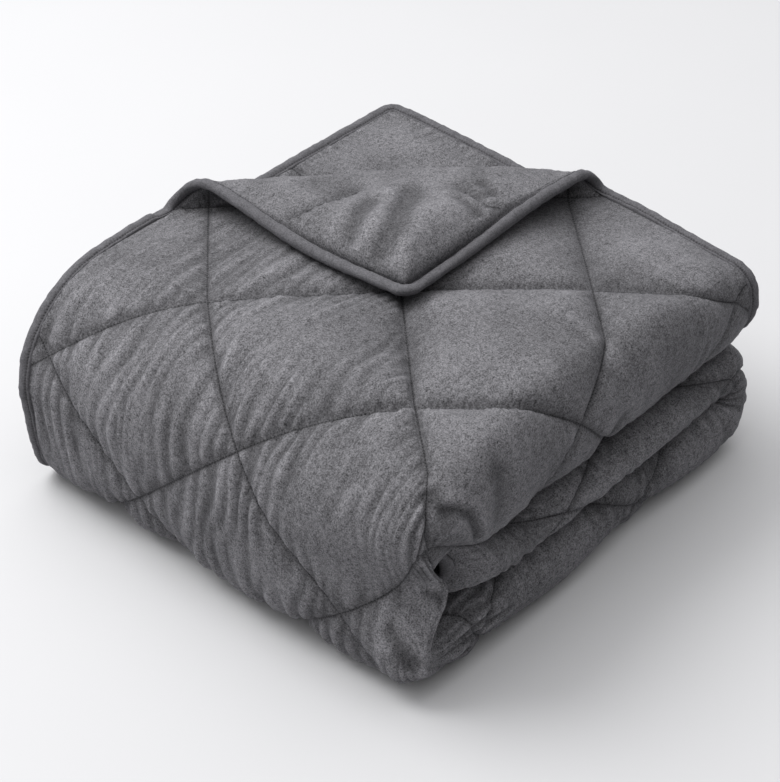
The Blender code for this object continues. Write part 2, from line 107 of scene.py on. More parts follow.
DRAWN_IN_FROM_X = (0.02 - BIG_TURN_X, 0.13 - BIG_TURN_X)  # how far out it starts, and is full
DRAWN_IN_FROM_Y = (-0.03 - ROLL_Y, 0.04 - ROLL_Y)
TURN_TO_STACK = (BIG_TURN_X - 0.10, BIG_TURN_X + 0.06)
ROLLED_TO_OPEN = (-0.26, 0.26)
DOME = 0.191  # the top falls away by DOME * distance ** 2 from its highest point
DOME_X, DOME_Y = -0.086, -0.129
DROOP = 0.011  # how much further the corner of the top end sinks, beside the roll
DROOP_FROM_X, DROOP_FROM_Y = (0.10, 0.32), (-0.12, 0.22)
REST_SINK = 0.0035  # how far the puffs are flattened on what the stack lies on
STACK_MIDDLE = (0.0324, 0.03185)  # middle of the footprint in the coordinates above

# Height of each pair of layers once settled, beside its height in an even stack.
EVEN_HEIGHTS = (0.0, 2 * LAYER, 4 * LAYER, 6 * LAYER)
ROLLED_SIDE_HEIGHTS = (0.0, 0.0853, 0.1356, 6 * LAYER)
OPEN_SIDE_HEIGHTS = (0.0, 0.0921, 0.1966, 6 * LAYER)

# Corner of the upper layer, turned back over a crease.
CREASE_START = np.array([-0.066, UPPER_EDGE_Y])
CREASE_END = np.array([END_X, -0.045])
CREASE_BOW = 0.010
CREASE_ENDS = 0.35  # share of the crease over which its radius changes at each end
CREASE_RADII = {"start": 0.024, "middle": 0.019, "end": 0.0155}
TIP = np.array([-0.026, -0.035])  # where the corner comes to lie
TIP_LIFT = 0.002
CREASE_AIR = 0.0015  # from the crease's middle to the cloth inside it
FLAP_SETTLE = 0.16  # distance behind the crease over which the corner comes down

# Mesh: squares whose diagonals lie on the seams, split further where the cloth shows.
BASE_STEP = DIAGONAL / 16
FINE_CUTS, MEDIUM_CUTS = 3, 1
WHOLE_EDGE = 0.3  # of a step; shorter edges aren't split
RIM_ZONE = 0.026  # beside the binding
TURN_ZONE, ROLL_ZONE = 0.02, 0.03  # past the big turn, and beside the roll
SMALL_TURN_ZONE = 0.03
FLAP_ZONE = (0.40, 0.37)  # from the end and from the side
BELOW_ZONE = (0.36, 0.36)  # the same of the corner under it
MOST_SEAMS = 16
SNAP = 2e-5
FACE, BACK = 1, -1

# Seams, heights in metres of rise.
SEAM_DEEP, SEAM_SPREAD = 0.0042, 0.0048  # narrow valley that the thread pulls in
RELIEF_FULL = 1.5  # times the fullness of the cloth, up to 1
ROLL_FILLED = 0.75  # how much shallower the valleys are in the lower half of the roll
FILLED_ROUND = (0.25, 0.7)  # shares of the way round, where that comes
FILLED_PAST = (0.05, 0.12)  # past the roll, where it goes

# Ridges. A patch is how far an unevenness reaches, across the ridges and along them.
RIDGE_PITCH = 0.0195
RIDGE_HIGH = {"turn": 0.0068, "top": 0.0036, "smooth": 0.0007, "under": 0.0014}
RIDGE_PINNED = 0.007  # from a seam to where the ridges have their full height
RIDGE_FADES, RIDGE_LEFT = 0.055, 0.5  # in from a seam, and what is left in the middle of a square
RIDGE_SURE = 0.028  # distance from a seam within which hardly any ridge fades out
RIDGE_LEAST, RIDGE_LEAST_AT_SEAM = 0.05, 0.75  # how low they fade, and how much less so at a seam
RIDGE_SHIFT, CELL_STEPS = 0.0057, (13, 7)  # so that no two squares have their ridges in line
SWAY, SWAY_PATCH = 0.8, (0.055, 0.11)  # in pitches
SMALL_SWAY, SMALL_SWAY_PATCH = 0.35, (0.02, 0.06)
NARROW_PITCH, NARROW_SWAY = 0.63, -1.3  # closer ridges mixed in, as shares of the wide ones
NARROW_FROM, NARROW_PATCH = (-0.2, 0.5), (0.045, 0.08)
UNEVEN_PITCH, UNEVEN_LONG = 0.5, 0.07
WAVE_SHARE, UNEVEN_SHARE = 0.62, 0.55
STRENGTH, STRENGTH_CHANGE, STRENGTH_MOST = 0.55, 0.75, 1.2
STRENGTH_PATCH = (0.037, 0.065)
STRONG_CELLS = 2  # squares before this seam of the first family are ridged strongly
SMOOTH_TURN = 0.3  # share of the turn's extra height that the smooth squares get
TURN_RIDGED = (-0.02, 0.10)  # past the start of the big turn
UNDER_FROM = 0.03  # past its end

# Ridges round the roll, which run the other way.
ROLL_RIDGE_PITCH, ROLL_RIDGE_HIGH = 0.021, {"upper": 0.0020, "lower": 0.0042}
ROLL_RIDGE_LEFT, ROLL_RIDGE_FADES = 0.35, 0.035
ROLL_BLEND = 0.07  # either side of the roll
ROLL_OTHERS = 0.7  # how much of the other ridges is lost there
ROLL_LOWER = (-0.05, 0.05)  # past the big turn, where the roll is the lower one
ROLL_TURNING = (-0.04, 0.03)  # past the big turn, where the roll has left it
ROLL_BENEATH = 0.6  # share of the lower roll's ridges that the upper one has underneath

# Puckers across the seams, and gathers beside the binding.
PUCKER_PITCH, PUCKER_HIGH, PUCKER_REACH = 0.0125, 0.0016, 0.011
PUCKER_STARTS = 0.004  # from the seam
PUCKER_SWAY, PUCKER_SWAY_LONG = 2.2, 0.03
PUCKER_STRENGTH, PUCKER_CHANGE, PUCKER_CHANGE_LONG = 0.55, 0.45, 0.045
PUCKER_SMOOTH = 0.35  # height of those on the smooth squares, as a share
SEAM_APART = (3.7, 5.3)  # steps in the noise from one seam to the next
CORNER_PUCKER_SWAY = 2
GATHER_PITCH, GATHER_HIGH, GATHER_REACH = 0.0135, 0.0020, 0.017
BACK_GATHER_HIGH = 0.0032
GATHER_FULL, GATHER_STARTS = 0.009, (0.008, 0.014)  # from the edge
GATHER_SWAY, GATHER_SWAY_LONG = 2.4, 0.033
GATHER_STRENGTH, GATHER_CHANGE, GATHER_CHANGE_LONG = 0.5, 0.5, 0.05
GATHER_REACHES, GATHER_REACH_LONG = (0.8, 0.5), 0.02  # mean reach and its change
SIDE_APART = (7.1, 3.3, 9.1)  # steps in the noise from one side to the other

# Swells of the filling.
SWELL_LONG, SWELL_HIGH = 0.075, 0.0016
FLAP_SWELL_HIGH = 0.0022
BACK_SWELL_PATCH, SMALL_SWELL_PATCH, SMALL_SWELL = (0.05, 0.045), (0.024, 0.028), 0.5
BACK_SWELL_STARTS = (0.01, 0.05)  # from the edge

# Seams of the back at the two corners where it shows, as flat points.
CORNER_SEAMS = (
    ((0.160, 0.100), (0.165, 0.072), (0.171, 0.045), (0.180, 0.012)),
    ((0.066, 0.165), (0.044, 0.158), (0.024, 0.156), (0.012, 0.164)),
    ((0.183, 1.171), (0.180, 1.135), (0.177, 1.105), (0.172, 1.060)),
    ((0.010, 1.006), (0.069, 1.009), (0.120, 1.018)),
)
CORNER_SEAM_DEEP, CORNER_SEAM_WIDE = 0.0040, 0.022

# Creases placed one by one: flat points, how deep and how wide.
CREASES = (
    (((0.459, 0.575), (0.459, 0.620)), 0.0030, 0.016),
    (((0.543, 0.545), (0.552, 0.585)), 0.0040, 0.010),
    (((0.544, 0.577), (0.521, 0.602), (0.510, 0.632)), 0.0055, 0.008),
    (((0.687, 0.560), (0.700, 0.600)), 0.0040, 0.008),
    (((0.730, 0.520), (0.744, 0.546), (0.762, 0.575)), 0.0045, 0.009),
    (((0.748, 0.535), (0.768, 0.585)), 0.0040, 0.008),
    (((0.760, 0.530), (0.771, 0.573)), 0.0040, 0.008),
    (((0.250, 0.620), (0.275, 0.655)), 0.0030, 0.009),
)
BACK_CREASES = (
    (((0.105, 0.123), (0.063, 0.051), (0.054, 0.014)), 0.0050, 0.013),
    (((0.123, 0.081), (0.099, 0.021)), 0.0040, 0.011),
    (((0.060, 0.190), (0.030, 0.178)), 0.0028, 0.006),
    (((0.055, 0.140), (0.020, 0.135)), 0.0028, 0.007),
    (((0.040, 0.160), (0.036, 0.180)), 0.0028, 0.005),
)
CREASE_LIP, CREASE_LIP_AT = 0.35, 1.9  # ridge beside a crease: share of its depth, and of its width

# The roll hangs lower at its near end, and the corner at its far end is drawn in.
SAG = 0.032
SAG_FROM_S, SAG_TO_S = (0.37, 0.54), (0.60, 0.70)
SAG_FROM_W, SAG_TO_W = (0.575, 0.655), (0.69, 0.76)
SETTLED = (-0.0075, 0.0065, -0.002)
SETTLED_FROM_X, SETTLED_FROM_Y, SETTLED_FROM_Z = (0.16, 0.29), (0.08, 0.26), (0.14, 0.23)

# Binding: in from the edge of the cloth, half thickness there.
BINDING_ROUND = (
    (-0.0058, 0.0),
    (-0.0052, 0.0024),
    (-0.0036, 0.0044),
    (-0.0010, 0.0056),
    (0.0018, 0.0057),
    (0.0042, 0.0050),
    (0.0058, 0.0035),
    (0.0066, 0.0026),
    (0.0076, 0.0033),
    (0.0092, 0.0030),
    (0.0100, 0.0016),
)
BINDING_PLUMP, BINDING_PLUMP_LONG = (0.10, 0.08), (0.011, 0.03)
BINDING_GATHER, BINDING_GATHER_LONG, BINDING_GATHER_ROWS = 0.0008, 0.006, 3
BINDING_SEAM_IN = 0.0066
BINDING_SIDES_APART = 0.02  # the two sides of the tape, laid out flat
NO_LINE = 0.02  # far enough from a line of stitches

NOISE_TABLE = (97, 89)  # squares of noise before it repeats

# A seed for each kind of unevenness, the first of up to five in a row.
SEEDS = {
    "ridges": 11, "roll ridges": 23, "puckers": 31, "swell": 43, "gathers": 53,
    "back swell": 61, "small back swell": 62, "corner puckers": 65, "back puckers": 67,
    "back gathers": 71, "plump": 83, "small plump": 84, "tape gathers": 85,
}

# Camera.
PHOTO_WIDE = 780
VIEW_YAW, VIEW_PITCH = 0.848221, 0.659689
VIEW_DISTANCE = 2.40022
VIEW_TARGET = (0.01211, 0.01914, 0.0777)
FOCAL_PIXELS = 2160.16
SENSOR_WIDE = 36.0

# Cloth.
CLOTH_COLOR, CLOTH_MOTTLE, CLOTH_NAP = (0.121, 0.119, 0.126, 1), 1.25, 0.0013
BINDING_COLOR, BINDING_MOTTLE, BINDING_NAP = (0.098, 0.096, 0.103, 1), 0.7, 0.0010
CLOTH_FINISH = {
    "Roughness": 0.95,
    "Specular IOR Level": 0.2,
    "Sheen Weight": 0.16,
    "Sheen Roughness": 0.45,
    "Sheen Tint": (0.55, 0.55, 0.6, 1),
}
FIBRES, TUFTS, CLOUDS = 620.0, 210.0, 32.0  # how many come to a metre
FIBRE_MOTTLE, TUFT_MOTTLE, CLOUD_MOTTLE = 2.6, 0.9, 0.4
FIBRE_HIGH, TUFT_HIGH = 0.4, 0.6
NAP_STRENGTH = 0.55
THREAD_HIGH = 0.8  # in units of the nap
STITCH_PITCH, STITCH_WIDE = 0.0042, 0.0017
STITCH_HALF, STITCH_SHARP = 0.42, 6.0  # half a stitch, as a share of the pitch
LINE_DARK, HOLE_DARK = 0.45, 0.5
STITCH_DARK, BINDING_STITCH_DARK = 0.9, 0.95
BINDING_STITCH_PITCH, BINDING_STITCH_WIDE = 0.0038, 0.0018
WRINKLES_ALONG, WRINKLES_ACROSS, WRINKLES_HIGH = 14, 105, 2.2
WRINKLED_PATCHES, WRINKLED_FROM, WRINKLED_SHARP = 16.0, 0.42, 6.0
SHADE_BESIDE = 0.020  # how far the painted shade beside a seam reaches
TROUGH_DEEP, PAINTED_SHADE_STRENGTH = 0.0030, 0.40  # painted shade in troughs and painted highlight on ridges, multiplied into the cloth's colour
TROUGH_SEAM, TROUGH_BESIDE = 0.7, 0.4  # shares of a seam's valley, and of the painted shade beside it

# Floor.
FLOOR_WIDE, FLOOR_GRAIN = 24, 3.0
FLOOR_DARKER, FLOOR_LIGHTER = (0.545, 0.545, 0.552, 1), (0.56, 0.56, 0.567, 1)

# Light: a pale sky that is brightest straight above, and one large soft lamp.
SKY_COLOR = (1, 1, 1.01, 1)
SKY_LOW, SKY_ABOVE, SKY_POWER = 0.09, 1.95, 1.85
SKY_BEHIND = 0.68  # how much brighter it is towards +Y
LAMP_AT, LAMP_TOWARD = (-0.70, 1.55, 2.55), (0, 0, 0.1)
LAMP_WIDE, LAMP_POWER = 2.0, 66


def ease(value, low=0.0, high=1.0):
    """A smooth rise from 0 at low to 1 at high."""
    share = np.clip((value - low) / (high - low), 0, 1)
    return share * share * (3 - 2 * share)


def blend(first, second, share):
    return first + (second - first) * share


def half_oval(angle, deep, high, square_up, square_low):
    """Point at an angle from the top of a half oval, which may be squarer below than above."""
    sine, cosine = np.sin(angle), np.cos(angle)
    power = 2 / blend(square_up, square_low, ease(-cosine, *SQUARE_CHANGES))
    return deep * np.abs(sine) ** power, high * np.sign(cosine) * np.abs(cosine) ** power


def lengths_round(deep, high, square_up, square_low, count=1441):
    """Length along a half oval, and the angle reached there."""
    angle = np.linspace(0, np.pi, count)
    out, up = half_oval(angle, deep, high, square_up, square_low)
    return np.concatenate([[0], np.cumsum(np.hypot(np.diff(out), np.diff(up)))]), angle


BIG_TURN_TABLE = lengths_round(**BIG_TURN)
SMALL_TURN_TABLE = lengths_round(**SMALL_TURN)
ROLL_TABLE = lengths_round(ROLL_DEEP, ROLL_HIGH, ROLL_SQUARE, ROLL_SQUARE)

# Distances from the end on top at which each turn starts and ends, and the same across.
BIG_TURN_FROM = END_X - BIG_TURN_X
BIG_TURN_TO = BIG_TURN_FROM + BIG_TURN_TABLE[0][-1]
SMALL_TURN_FROM = BIG_TURN_TO + SMALL_TURN_X - BIG_TURN_X
SMALL_TURN_TO = SMALL_TURN_FROM + SMALL_TURN_RUN
ROLL_FROM = UPPER_EDGE_Y - ROLL_Y
ROLL_TO = ROLL_FROM + ROLL_TABLE[0][-1]
WIDTH = ROLL_TO + LOWER_EDGE_Y - ROLL_Y


def fold_in_three(s, y, depth):
    """x and z of a point s along, depth inside the pair of layers from its outer face."""
    rolled = 1 - ease(y - ROLL_Y, *SQUEEZE_CHANGES)
    angle = np.interp(s - BIG_TURN_FROM, *BIG_TURN_TABLE)
    out, up = half_oval(angle, **BIG_TURN)
    power = blend(SQUEEZE_POWER, ROLLED_SQUEEZE_POWER, rolled)
    pressed = 1 - blend(BIG_TURN_SQUEEZE, ROLLED_SQUEEZE, rolled) * np.sin(angle) ** power
    share = 1 - depth * pressed / BIG_TURN["high"]
    beyond = np.maximum(BIG_TURN_FROM - s, 0) + np.maximum(s - BIG_TURN_TO, 0)
    big = BIG_TURN_X - out * share + beyond, 3 * LAYER + up * share

    covered = np.clip((s - SMALL_TURN_FROM) / SMALL_TURN_RUN, 0, 1) * SMALL_TURN_TABLE[0][-1]
    out, up = half_oval(np.interp(covered, *SMALL_TURN_TABLE), **SMALL_TURN)
    share = 1 - depth / SMALL_TURN["high"]
    beyond = np.maximum(SMALL_TURN_FROM - s, 0) + np.maximum(s - SMALL_TURN_TO, 0)
    beyond = beyond + INNER_REACH * rolled * ease(s, SMALL_TURN_TO, LENGTH)
    small = SMALL_TURN_X + out * share - beyond, 2 * LAYER - up * share

    on_big = s < (BIG_TURN_TO + SMALL_TURN_FROM) / 2
    return np.where(on_big, big[0], small[0]), np.where(on_big, big[1], small[1])


def fold_in_half(w, rise):
    """y, and depth inside the pair of layers, of a point w across and rise above mid thickness."""
    angle = np.interp(w - ROLL_FROM, *ROLL_TABLE)
    out, up = half_oval(angle, 1.0, 1.0, ROLL_SQUARE, ROLL_SQUARE)
    radius = LAYER / 2 + rise
    beyond = np.maximum(ROLL_FROM - w, 0) + np.maximum(w - ROLL_TO, 0)
    return ROLL_Y - radius * out + beyond, LAYER - radius * up


def settle(x, y, z):
    """The even stack pressed down and drawn in by its own weight, with the big turn kept full."""
    inside = ease(x, *TURN_TO_STACK)
    rolled = np.interp(z, EVEN_HEIGHTS, ROLLED_SIDE_HEIGHTS)
    opened = np.interp(z, EVEN_HEIGHTS, OPEN_SIDE_HEIGHTS)
    level = blend(rolled, opened, ease(y, *ROLLED_TO_OPEN))
    level = level + np.maximum(z - STACK_HIGH, 0) + np.minimum(z, 0)
    level = blend(z, level, inside)

    y = np.where(y < ROLL_Y, ROLL_Y + (y - ROLL_Y) * ROLL_DEEP / LAYER, y)
    middle = np.exp(-(((z - DRAWN_IN_HEIGHT) / DRAWN_IN_SPREAD) ** 2))
    drawn = blend(DRAWN_IN_ENDS, DRAWN_IN_MIDDLE, middle)
    tucked = np.clip((-y - TUCK_FROM_Y) / TUCK_LONG, 0, 1) ** 2 * middle
    y = y + drawn * ease(-x, *DRAWN_IN_FROM_X) * ease(-y, *DRAWN_IN_FROM_Y)
    open_drawn = np.exp(-(((z - OPEN_DRAWN_HEIGHT) / OPEN_DRAWN_SPREAD) ** 2))
    open_drawn = open_drawn * ease(y, *OPEN_DRAWN_FROM_Y)
    y = y - OPEN_DRAWN_IN * open_drawn * ease(-x, *DRAWN_IN_FROM_X)
    x = x + TUCK * tucked * ease(-x, *TUCK_FROM_X)

    fall = DOME * ((x - DOME_X) ** 2 + (y - DOME_Y) ** 2)
    top = blend(np.clip(z / STACK_HIGH, 0, 1), np.clip(z / LAYER - 5, 0, 1), inside)
    fall = fall + DROOP * ease(x, *DROOP_FROM_X) * ease(-y, *DROOP_FROM_Y)
    level = np.maximum(level - fall * top - REST_SINK, 0)
    return np.stack([x - STACK_MIDDLE[0], y - STACK_MIDDLE[1], level], -1)


ALONG_CREASE = (CREASE_END - CREASE_START) / np.linalg.norm(CREASE_END - CREASE_START)
PAST_CREASE = np.array([-ALONG_CREASE[1], ALONG_CREASE[0]])
CREASE_LENGTH = np.linalg.norm(CREASE_END - CREASE_START)


def crease_at(p):
    """How far the crease bows back towards the corner at p along it, and its radius there."""
    share = p / CREASE_LENGTH
    bow = -CREASE_BOW * np.clip(1 - (2 * share - 1) ** 2, 0, 1)
    radius = blend(CREASE_RADII["start"], CREASE_RADII["middle"], ease(share, 0, CREASE_ENDS))
    return bow, blend(radius, CREASE_RADII["end"], ease(share, 1 - CREASE_ENDS, 1))


def crease_coordinates(x, y):
    across_x, across_y = x - CREASE_START[0], y - CREASE_START[1]
    p = across_x * ALONG_CREASE[0] + across_y * ALONG_CREASE[1]
    return p, across_x * PAST_CREASE[0] + across_y * PAST_CREASE[1]


CORNER_P, CORNER_Q = crease_coordinates(END_X, UPPER_EDGE_Y)
TIP_P, TIP_Q = crease_coordinates(*TIP)
CORNER_BOW, CORNER_RADIUS = crease_at(CORNER_P)
FLAP_STRETCH = (CORNER_BOW - TIP_Q + np.pi * CORNER_RADIUS) / (CORNER_Q - CORNER_BOW)
FLAP_SHEAR = (TIP_P - CORNER_P) / (CORNER_BOW - TIP_Q)


def edge_distance(s, w):
    return np.minimum(np.minimum(s, LENGTH - s), np.minimum(w, WIDTH - w))


def beside_roll(w):
    return 1 - ease(np.abs(w - (ROLL_FROM + ROLL_TO) / 2), *BLUNT_BESIDE_ROLL)


def crown_share(s, w):
    """0 at the tongue to 1 where the cloth is full; the hidden end is blunter beside the roll."""
    end = (LENGTH - TONGUE_WIDE - s) * (1 + BLUNTNESS * beside_roll(w))
    edges = np.minimum(s, np.minimum(w, WIDTH - w)) - TONGUE_WIDE
    return np.clip(np.minimum(edges, end) / CROWN_WIDE, 0, 1)


def seam_families(s, w):
    """Number of seams passed in each of the two directions, as a fraction between seams."""
    x, y = END_X - s, UPPER_EDGE_Y - w
    return (x - y - SEAM_DIFFERENCE) / DIAGONAL, (x + y - SEAM_SUM) / DIAGONAL


def seam_distance(s, w):
    first, second = seam_families(s, w)
    nearest = np.minimum(np.abs(first - np.round(first)), np.abs(second - np.round(second)))
    return nearest * CELL


def corner_share(s, w):
    """1 at the two corners whose back shows, 0 elsewhere."""
    return (1 - ease(s, *CORNERS_TO_S)) * (1 - ease(np.minimum(w, WIDTH - w), *CORNERS_TO_W))


def thickness(s, w):
    """Thickness of the cloth between seams, and how full it is there, from 0 at its edge to 1."""
    full = np.sqrt(1 - (1 - crown_share(s, w)) ** 2)
    return blend(TONGUE_THICK, LAYER - LAYER_AIR, full), full


def place(s, w, rise, on_rim=False):
    """The folded place of a flat point, rise above mid thickness on the blanket's face side."""
    p, q = crease_coordinates(END_X - s, UPPER_EDGE_Y - w)
    bow, radius = crease_at(p)
    past = np.maximum(q - bow, 0) * FLAP_STRETCH
    angle = np.clip(past / (np.pi * radius), 0, 1) * np.pi
    back = np.maximum(past - np.pi * radius, 0)
    on_corner = (s < BIG_TURN_FROM) & (w < ROLL_FROM)
    squeeze = 1 - 2 * (radius - CREASE_AIR) / LAYER
    squeeze = 1 - squeeze * (1 - ease(np.maximum(back, bow - q), 0, FLAP_SETTLE))
    rise = np.where(on_corner & (rise > 0), rise * squeeze, rise)

    thick, full = (TONGUE_THICK, 0) if on_rim else thickness(s, w)
    upper = 1 - 2 * ease(w, ROLL_TO, ROLL_TO + LEAN_CHANGES)
    turned = 2 - ROLLED_LEAN * beside_roll(w)
    upper = upper * (1 - turned * ease(s, LENGTH - INNER_END, LENGTH - CROWN_WIDE))
    middle = upper * ((LAYER - LAYER_AIR - thick) / 2 - EDGE_SINK * (1 - full))
    y, depth = fold_in_half(w, middle + rise)
    x, z = fold_in_three(s, y, depth)
    base = 5.5 * LAYER + middle
    landed = STACK_HIGH + TIP_LIFT + thick / 2 - base
    lift = blend(2 * radius, landed, ease(back, 0, FLAP_SETTLE))
    lift = np.where(back > 0, lift, radius * (1 - np.cos(angle)))
    q_folded = bow + (radius - rise) * np.sin(angle) - back
    p_folded = p + FLAP_SHEAR * back
    folded = (q > bow) & on_corner
    x_folded = CREASE_START[0] + ALONG_CREASE[0] * p_folded + PAST_CREASE[0] * q_folded
    y_folded = CREASE_START[1] + ALONG_CREASE[1] * p_folded + PAST_CREASE[1] * q_folded
    x = np.where(folded, x_folded, x)
    y = np.where(folded, y_folded, y)
    z = np.where(folded, base + lift + rise * np.cos(angle), z)
    return settle(x, y, z)


def rounded(s, w):
    """A flat point near a square corner moved to where it lies once the corner is rounded."""
    half = np.array([LENGTH, WIDTH]) / 2
    offset = np.stack([s, w], -1) - half
    past = (np.abs(offset) - half + CORNER_ROUND) / CORNER_ROUND
    near = (past > 0).all(-1, keepdims=True)
    past = np.maximum(past, 1e-9)
    pull = past.max(-1, keepdims=True) / np.linalg.norm(past, axis=-1, keepdims=True)
    corner = half - CORNER_ROUND + past * pull * CORNER_ROUND
    flat = half + np.where(near, np.sign(offset) * corner, offset)
    return flat[..., 0], flat[..., 1]


def edge_frames(s, w):
    """The blanket's edge beside points on the tongue's inner line, and the ways in and up there."""
    edge_s = np.where(s < NEAR_TONGUE, 0, np.where(s > LENGTH - NEAR_TONGUE, LENGTH, s))
    edge_w = np.where(w < NEAR_TONGUE, 0, np.where(w > WIDTH - NEAR_TONGUE, WIDTH, w))
    edge = place(*rounded(edge_s, edge_w), 0, on_rim=True)
    inner = place(*rounded(s, w), 0, on_rim=True)
    face = place(*rounded(s, w), FACE_STEP, on_rim=True) - inner
    face /= np.linalg.norm(face, axis=-1, keepdims=True)
    return edge, (inner - edge) / TONGUE_WIDE, face


def noise(u, v, seed):
    """Smooth random heights from -1 to 1 over a plane, one to each unit square."""
    long, wide = NOISE_TABLE
    table = np.random.default_rng(seed).uniform(-1, 1, NOISE_TABLE)
    low_u, low_v = np.floor(u), np.floor(v)
    share_u, share_v = ease(u - low_u), ease(v - low_v)
    at_u, at_v = low_u.astype(int) % long, low_v.astype(int) % wide
    next_u, next_v = (at_u + 1) % long, (at_v + 1) % wide
    first = blend(table[at_u, at_v], table[next_u, at_v], share_u)
    second = blend(table[at_u, next_v], table[next_u, next_v], share_u)
    return blend(first, second, share_v)


def patches(across, along, patch, seed):
    return noise(across / patch[0], along / patch[1], seed)


def ease_past(value, start, offsets):
    """A smooth rise from 0 to 1 between two offsets from a start."""
    return ease(value, start + offsets[0], start + offsets[1])


def ridges(along, across, pitch, seed, least=RIDGE_LEAST):
    """Uneven ridges that run along, a pitch apart, each fading in and out but for the least."""
    sway = SWAY * patches(across, along, SWAY_PATCH, seed)
    sway = sway + SMALL_SWAY * patches(across, along, SMALL_SWAY_PATCH, seed + 1)
    wave = np.cos(2 * np.pi * (across / pitch + sway))
    narrow = np.cos(2 * np.pi * (across / (NARROW_PITCH * pitch) + NARROW_SWAY * sway))
    uneven = noise(across / (UNEVEN_PITCH * pitch), along / UNEVEN_LONG, seed + 2)
    strength = STRENGTH + STRENGTH_CHANGE * patches(across, along, STRENGTH_PATCH, seed + 3)
    mixed = ease(patches(across, along, NARROW_PATCH, seed + 4), *NARROW_FROM)
    uneven = WAVE_SHARE * blend(wave, narrow, mixed) + UNEVEN_SHARE * uneven
    return uneven * np.clip(strength, least, STRENGTH_MOST)


def seam_puckers(s, w, seed):
    """Short ridges across the nearest seam, which die away from it."""
    first, second = seam_families(s, w)
    x, y = END_X - s, UPPER_EDGE_Y - w
    total = 0
    for number, run in ((first, x + y), (second, x - y)):
        line = np.round(number)
        gap = np.abs(number - line) * CELL
        sway = PUCKER_SWAY * noise(run / PUCKER_SWAY_LONG, line * SEAM_APART[0], seed)
        wave = np.cos(2 * np.pi * run / 2**0.5 / PUCKER_PITCH + sway)
        change = noise(run / PUCKER_CHANGE_LONG, line * SEAM_APART[1], seed + 1)
        strength = PUCKER_STRENGTH + PUCKER_CHANGE * change
        total = total + wave * strength * np.exp(-gap / PUCKER_REACH) * ease(gap, 0, PUCKER_STARTS)
    return total


def along_segment(s, w, start, end):
    """A flat point's share of the way along a segment, its distance and side, and the length."""
    along_s, along_w = end[0] - start[0], end[1] - start[1]
    long = math.hypot(along_s, along_w)
    share = ((s - start[0]) * along_s + (w - start[1]) * along_w) / long**2
    inside = np.clip(share, 0, 1)
    off = np.hypot(s - start[0] - along_s * inside, w - start[1] - along_w * inside)
    side = np.sign(along_s * (w - start[1]) - along_w * (s - start[0]))
    return share, off, side, long


def corner_seams(s, w):
    """Distance to the nearest corner seam, below 0 on one side, and the way along it."""
    gap, run = np.full(np.shape(s), LENGTH), np.zeros(np.shape(s))
    for seam in CORNER_SEAMS:
        done = 0
        for number, (start, end) in enumerate(zip(seam, seam[1:])):
            share, off, side, long = along_segment(s, w, start, end)
            past_end = ((number == 0) & (share < 0)) | ((number == len(seam) - 2) & (share > 1))
            nearer = off < np.abs(gap)
            gap = np.where(nearer, np.where(past_end, off, off * side), gap)
            run = np.where(nearer, done + long * np.clip(share, 0, 1), run)
            done += long
    return gap, run


def creases(s, w, placed):
    """Depth of the creases that are placed one by one."""
    total = 0
    for points, deep, wide in placed:
        off = np.full(np.shape(s), LENGTH)
        for start, end in zip(points, points[1:]):
            off = np.minimum(off, along_segment(s, w, start, end)[1])
        trough = np.exp(-((off / wide) ** 2))
        lip = np.exp(-(((off - CREASE_LIP_AT * wide) / wide) ** 2))
        total = total + deep * (trough - CREASE_LIP * lip)
    return total


def edge_gathers(s, w, seed):
    """Small gathers square to the binding."""
    from_ends, from_sides = np.minimum(s, LENGTH - s), np.minimum(w, WIDTH - w)
    total = 0
    for gap, run, far in ((from_ends, w, s > LENGTH / 2), (from_sides, s, w > WIDTH / 2)):
        sway = GATHER_SWAY * noise(run / GATHER_SWAY_LONG, far * SIDE_APART[0], seed)
        wave = np.cos(2 * np.pi * run / GATHER_PITCH + sway)
        change = noise(run / GATHER_CHANGE_LONG, far * SIDE_APART[1], seed + 1)
        strength = GATHER_STRENGTH + GATHER_CHANGE * change
        change = noise(run / GATHER_REACH_LONG, far * SIDE_APART[2], seed + 2)
        reach = GATHER_REACH * (GATHER_REACHES[0] + GATHER_REACHES[1] * change)
        total = total + wave * strength * np.exp(-np.maximum(gap - GATHER_FULL, 0) / reach)
    return total * ease(edge_distance(s, w), *GATHER_STARTS)


def face_ridges(s, w, gap, turned):
    """The ridges that run along the blanket, high on the big turn and faint on some squares."""
    first, second = seam_families(s, w)
    high = blend(RIDGE_HIGH["top"], RIDGE_HIGH["turn"], turned)
    faint = RIDGE_HIGH["smooth"] + SMOOTH_TURN * (high - RIDGE_HIGH["top"])
    high = np.where(first >= STRONG_CELLS, faint, high)
    high = np.where(s > BIG_TURN_TO + UNDER_FROM, RIDGE_HIGH["under"], high)
    least = RIDGE_LEAST + RIDGE_LEAST_AT_SEAM * np.exp(-gap / RIDGE_SURE)
    kept = RIDGE_LEFT + (1 - RIDGE_LEFT) * np.exp(-gap / RIDGE_FADES)
    cell = np.floor(first) * CELL_STEPS[0] + np.floor(second) * CELL_STEPS[1]
    uneven = ridges(s, w + RIDGE_SHIFT * cell, RIDGE_PITCH, SEEDS["ridges"], least)
    return high * kept * uneven


